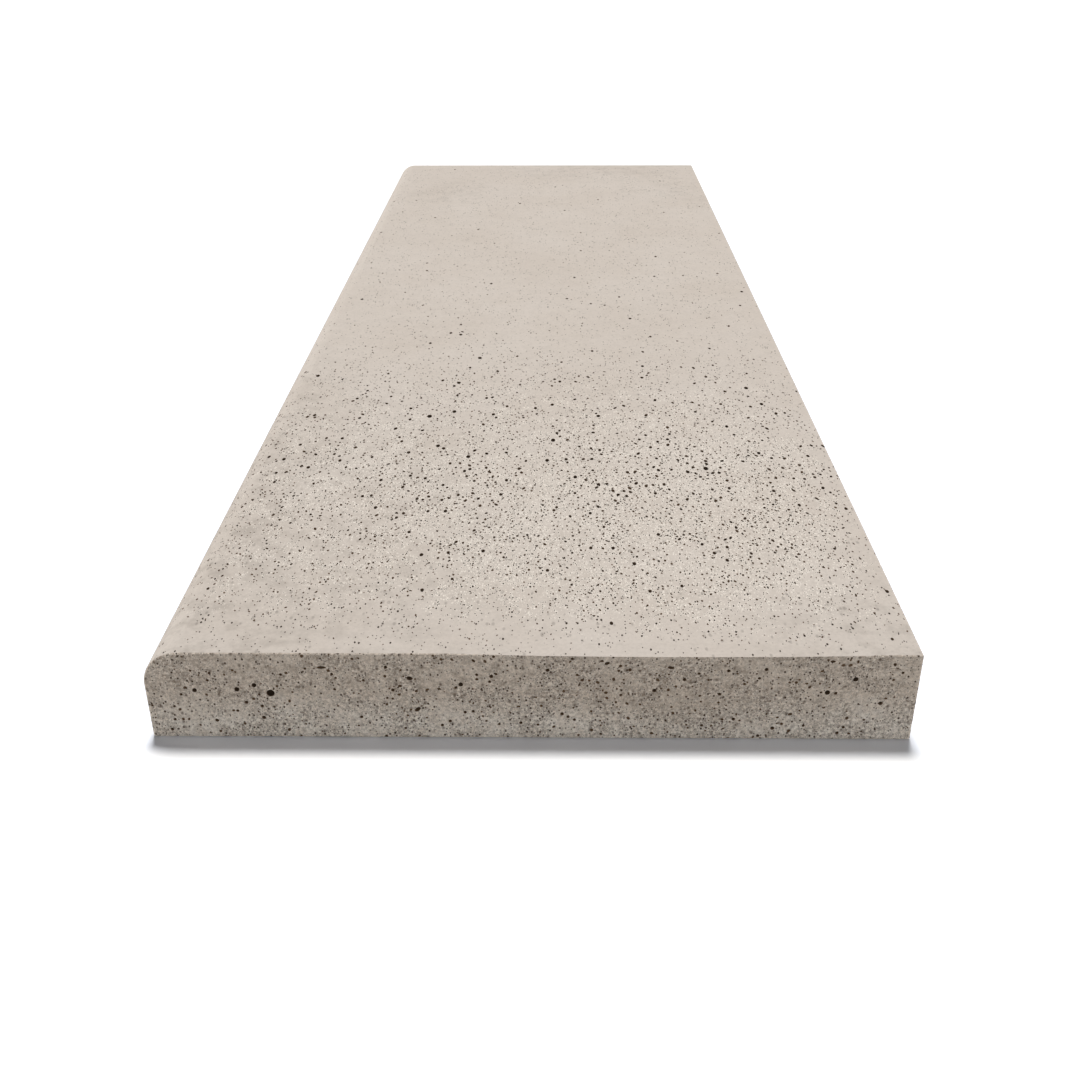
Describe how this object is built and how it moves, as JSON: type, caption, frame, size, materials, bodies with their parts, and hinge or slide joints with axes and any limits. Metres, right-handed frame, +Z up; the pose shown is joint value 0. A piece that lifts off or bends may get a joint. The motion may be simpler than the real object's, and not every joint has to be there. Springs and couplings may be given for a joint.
{
  "type": "pool coping stone",
  "caption": "Flat precast concrete coping slab for the rim of a pool, with a half bullnose along its water side and square back and ends.",
  "frame": {"origin": "middle of the bed, the underside that lies in the mortar", "axes": "+X across the stone from the rounded nose over the water to the square back, +Y along the rim of the pool, +Z up through the walking face"},
  "size_m": [0.3, 0.9, 0.04],
  "materials": {
    "cast_concrete": "matte"
  },
  "bodies": {
    "root": {"coping_stone": "cast_concrete"}
  },
  "joints": []
}
